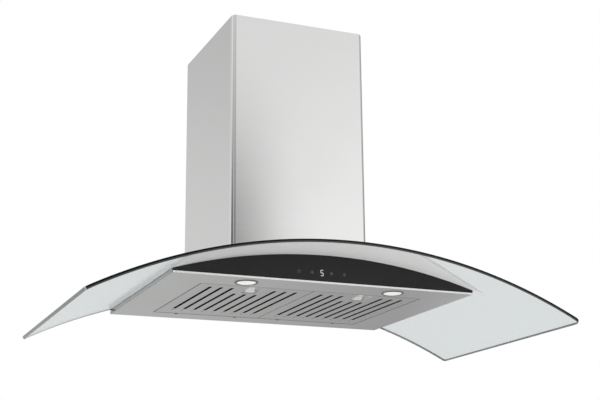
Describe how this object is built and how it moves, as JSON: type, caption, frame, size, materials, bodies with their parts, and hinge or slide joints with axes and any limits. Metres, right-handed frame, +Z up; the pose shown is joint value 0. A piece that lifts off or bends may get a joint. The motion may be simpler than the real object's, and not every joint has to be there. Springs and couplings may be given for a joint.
{
  "type": "curved glass range hood",
  "caption": "Wall-hung chimney range hood with a curved glass canopy, black glass control panel, slotted grease filters, lamps, blower and telescoping flue cover.",
  "frame": {"origin": "centre of the four wall screw holes, on the wall plane at the back of the blower box", "axes": "+X to the right of someone facing the hood, +Y into the wall, +Z up"},
  "size_m": [0.9, 0.5, 0.5946],
  "materials": {
    "brushed_steel": "fine brushed stainless steel",
    "zinc_sheet": "galvanised sheet",
    "clear_glass": "clear toughened float glass, greenish edge",
    "black_glass": "black back-painted glass",
    "rubber": "soft black rubber",
    "foam_tape": "acrylic foam tape",
    "circuit_board": "green solder mask",
    "black_plastic": "moulded black plastic",
    "zinc_screws": "zinc plated",
    "shaft_steel": "ground steel",
    "wheel_aluminium": "rolled aluminium",
    "motor_paint": "dark enamel",
    "capacitor_plastic": "white plastic can",
    "bezel_steel": "satin steel ring",
    "frosted_lens": "frosted diffuser",
    "lamp_aluminium": "cast heat sink",
    "latch_cup_steel": "pressed steel cup",
    "latch_chrome": "polished"
  },
  "bodies": {
    "root": {"body_top": "brushed_steel", "underside_pan": "brushed_steel", "glass_canopy": "clear_glass", "glass_gasket": "rubber", "flange_gasket": "rubber", "front_panel": "black_glass", "panel_tape": "foam_tape", "touch_board": "circuit_board", "control_box": "black_plastic", "blower_box": "zinc_sheet", "box_lid": "zinc_sheet", "lid_screws": "zinc_screws", "scroll_screws": "zinc_screws", "cable_gland": "black_plastic", "glass_bolts": "zinc_screws", "bolt_washers": "zinc_screws", "bolt_sleeves": "rubber", "bolt_nuts": "zinc_screws", "scroll_wrap": "zinc_sheet", "scroll_side_left": "zinc_sheet", "scroll_side_right": "zinc_sheet", "motor": "motor_paint", "motor_mount": "zinc_sheet", "motor_screws": "zinc_screws", "capacitor": "capacitor_plastic", "capacitor_clip": "zinc_sheet", "outlet_collar": "black_plastic", "collar_screws": "zinc_screws", "damper_pin": "shaft_steel", "chimney_lower": "brushed_steel", "chimney_screws": "zinc_screws", "lamp_bezel_left": "bezel_steel", "lamp_bezel_right": "bezel_steel", "lamp_lens_left": "frosted_lens", "lamp_lens_right": "frosted_lens", "lamp_body_left": "lamp_aluminium", "lamp_body_right": "lamp_aluminium", "hinge_hooks": "zinc_sheet"},
    "chimney_upper": {"chimney_upper": "brushed_steel", "upper_bracket": "zinc_sheet", "bracket_screws": "zinc_screws"},
    "fan": {"impeller": "wheel_aluminium", "motor_shaft": "shaft_steel"},
    "damper_left": {"damper_flap_left": "black_plastic"},
    "damper_right": {"damper_flap_right": "black_plastic"},
    "filter_left": {"filter_face_left": "brushed_steel", "filter_baffles_left": "brushed_steel", "latch_cup_left": "latch_cup_steel", "latch_spring_left": "shaft_steel"},
    "filter_right": {"filter_face_right": "brushed_steel", "filter_baffles_right": "brushed_steel", "latch_cup_right": "latch_cup_steel", "latch_spring_right": "shaft_steel"},
    "latch_left": {"latch_slide_left": "latch_chrome"},
    "latch_right": {"latch_slide_right": "latch_chrome"}
  },
  "joints": [
    {"name": "chimney_extend", "type": "slide", "parent": "root", "child": "chimney_upper", "axis": [0, 0, 1], "range_m": [0, 0.35]},
    {"name": "fan_spin", "type": "hinge", "parent": "root", "child": "fan", "pos_m": [0, -0.147, -0.01], "axis": [1, 0, 0], "continuous": true},
    {"name": "damper_left_open", "type": "hinge", "parent": "root", "child": "damper_left", "pos_m": [0, -0.093, 0.149], "axis": [0, 1, 0], "range_deg": [0, 75]},
    {"name": "damper_right_open", "type": "hinge", "parent": "root", "child": "damper_right", "pos_m": [0, -0.093, 0.149], "axis": [0, -1, 0], "range_deg": [0, 75]},
    {"name": "filter_left_swing", "type": "hinge", "parent": "root", "child": "filter_left", "pos_m": [-0.1055, -0.0465, -0.1714], "axis": [1, 0, 0], "range_deg": [0, 75]},
    {"name": "latch_left_slide", "type": "slide", "parent": "filter_left", "child": "latch_left", "axis": [0, 1, 0], "range_m": [0, 0.004], "stiffness_N_per_m": 400, "springref_m": -0.003, "deforming": ["latch_spring_left"]},
    {"name": "filter_right_swing", "type": "hinge", "parent": "root", "child": "filter_right", "pos_m": [0.1055, -0.0465, -0.1714], "axis": [1, 0, 0], "range_deg": [0, 75]},
    {"name": "latch_right_slide", "type": "slide", "parent": "filter_right", "child": "latch_right", "axis": [0, 1, 0], "range_m": [0, 0.004], "stiffness_N_per_m": 400, "springref_m": -0.003, "deforming": ["latch_spring_right"]}
  ]
}
